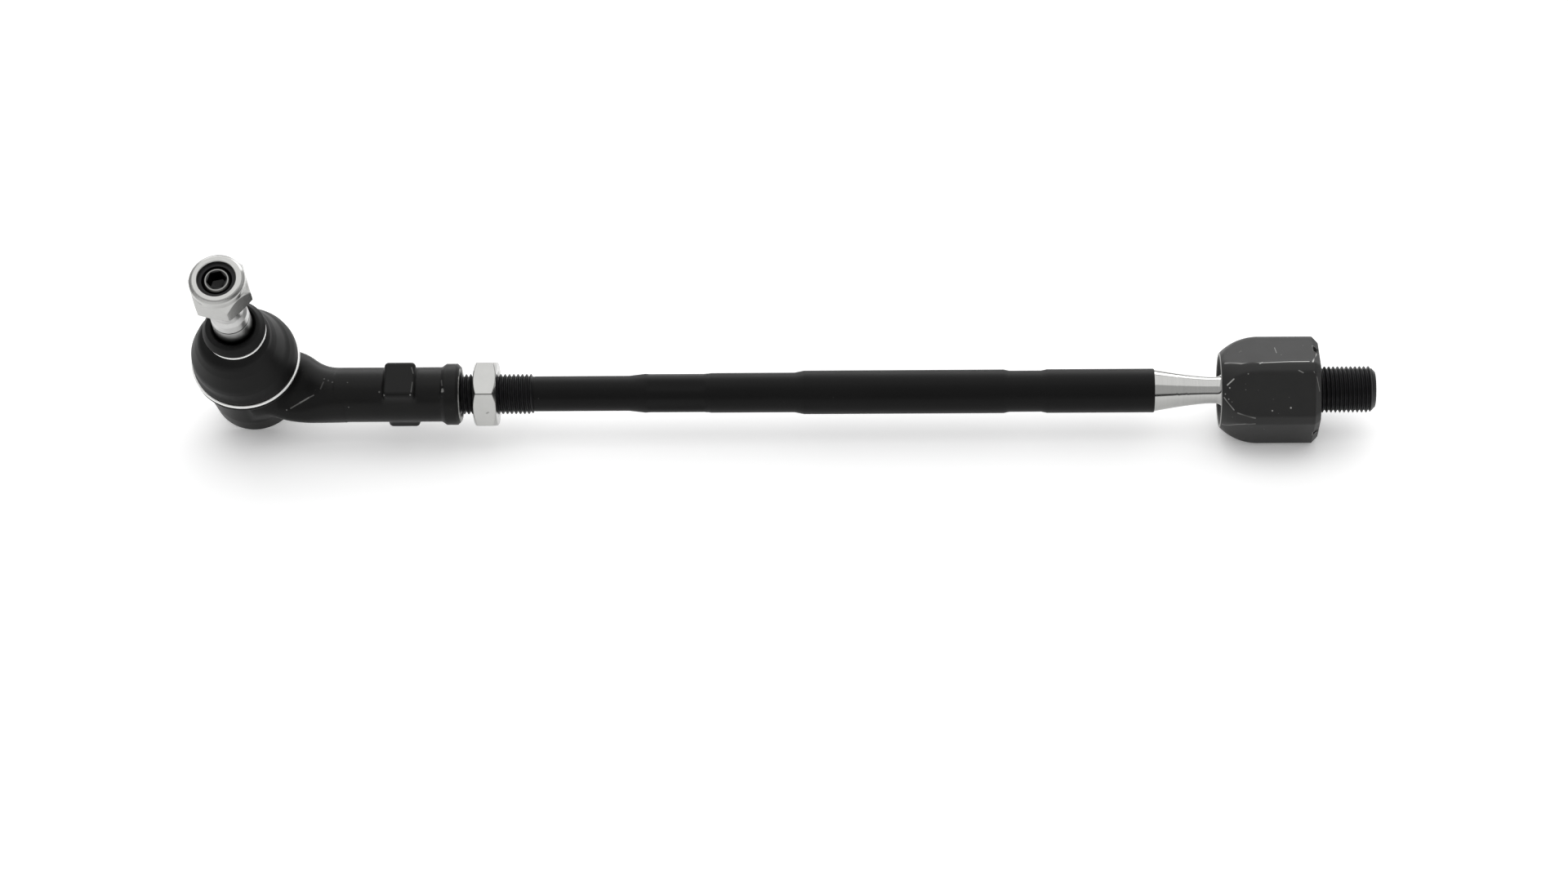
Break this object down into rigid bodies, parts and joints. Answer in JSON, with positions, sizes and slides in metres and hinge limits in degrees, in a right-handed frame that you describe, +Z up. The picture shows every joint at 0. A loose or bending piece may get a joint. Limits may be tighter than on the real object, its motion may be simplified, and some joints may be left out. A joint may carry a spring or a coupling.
{
  "type": "steering tie rod",
  "caption": "Steering tie rod: a stepped steel rod with a hexagonal axial ball joint at one end and, past a jam nut, a forged outer ball joint with a rubber boot, tapered stud and lock nut.",
  "frame": {"origin": "on the rod's axis, where the inner socket's shoulder meets the rack", "axes": "+X out along the rack thread, the rod runs along -X, +Z up as it lies on a flat of the socket and the rim of the ball pot, the stud leans towards -Y"},
  "size_m": [0.4091, 0.065, 0.0889],
  "materials": {
    "forged_steel": "satin black coat on forged steel",
    "rod_steel": "satin black coat on turned steel",
    "socket_steel": "dark grey phosphate with worn edges",
    "bright_steel": "ground and bare",
    "zinc_plate": "zinc plated",
    "ring_wire": "bright spring wire",
    "plate_steel": "pressed plate, black coat",
    "boot_rubber": "matte black rubber",
    "seat_plastic": "plain acetal",
    "black_nylon": "black nylon"
  },
  "bodies": {
    "rod": {"tie_rod": "rod_steel"},
    "jam_nut": {"jam_nut": "zinc_plate"},
    "outer_end": {"outer_housing": "forged_steel", "outer_ball_seat": "seat_plastic", "outer_cover_plate": "plate_steel", "outer_preload_spring": "bright_steel", "boot_lower_ring": "ring_wire"},
    "boot": {"dust_boot": "boot_rubber"},
    "boot_lip": {"boot_upper_ring": "ring_wire"},
    "stud": {"ball_stud": "bright_steel"},
    "stud_nut": {"stud_nut": "zinc_plate", "stud_nut_insert": "black_nylon"},
    "inner_seat": {"inner_ball_seat": "seat_plastic"},
    "socket": {"inner_socket": "socket_steel"}
  },
  "joints": [
    {"name": "outer_end_turn", "type": "hinge", "parent": "rod", "child": "outer_end", "pos_m": [-0.32, 0, 0], "axis": [1, 0, 0], "continuous": true},
    {"name": "jam_nut_turn", "type": "hinge", "parent": "rod", "child": "jam_nut", "pos_m": [-0.2874, 0, 0], "axis": [1, 0, 0], "continuous": true},
    {"name": "boot_turn", "type": "hinge", "parent": "outer_end", "child": "boot", "pos_m": [-0.3706, 0.00762, 0.0044], "axis": [0, -0.5, 0.866], "continuous": true},
    {"name": "stud_swing", "type": "hinge", "parent": "boot", "child": "boot_lip", "pos_m": [-0.3706, 0.00762, 0.0044], "axis": [1, 0, 0], "range_deg": [-25, 25], "deforming": ["dust_boot"]},
    {"name": "stud_spin", "type": "hinge", "parent": "boot_lip", "child": "stud", "pos_m": [-0.3706, 0.00762, 0.0044], "axis": [0, -0.5, 0.866], "continuous": true},
    {"name": "stud_nut_turn", "type": "hinge", "parent": "stud", "child": "stud_nut", "pos_m": [-0.3706, -0.02613, 0.06286], "axis": [0, -0.5, 0.866], "continuous": true},
    {"name": "inner_swing", "type": "hinge", "parent": "rod", "child": "inner_seat", "pos_m": [-0.02, 0, 0], "axis": [0, 1, 0], "range_deg": [-25, 25]},
    {"name": "socket_spin", "type": "hinge", "parent": "inner_seat", "child": "socket", "pos_m": [-0.02, 0, 0], "axis": [1, 0, 0], "continuous": true}
  ]
}
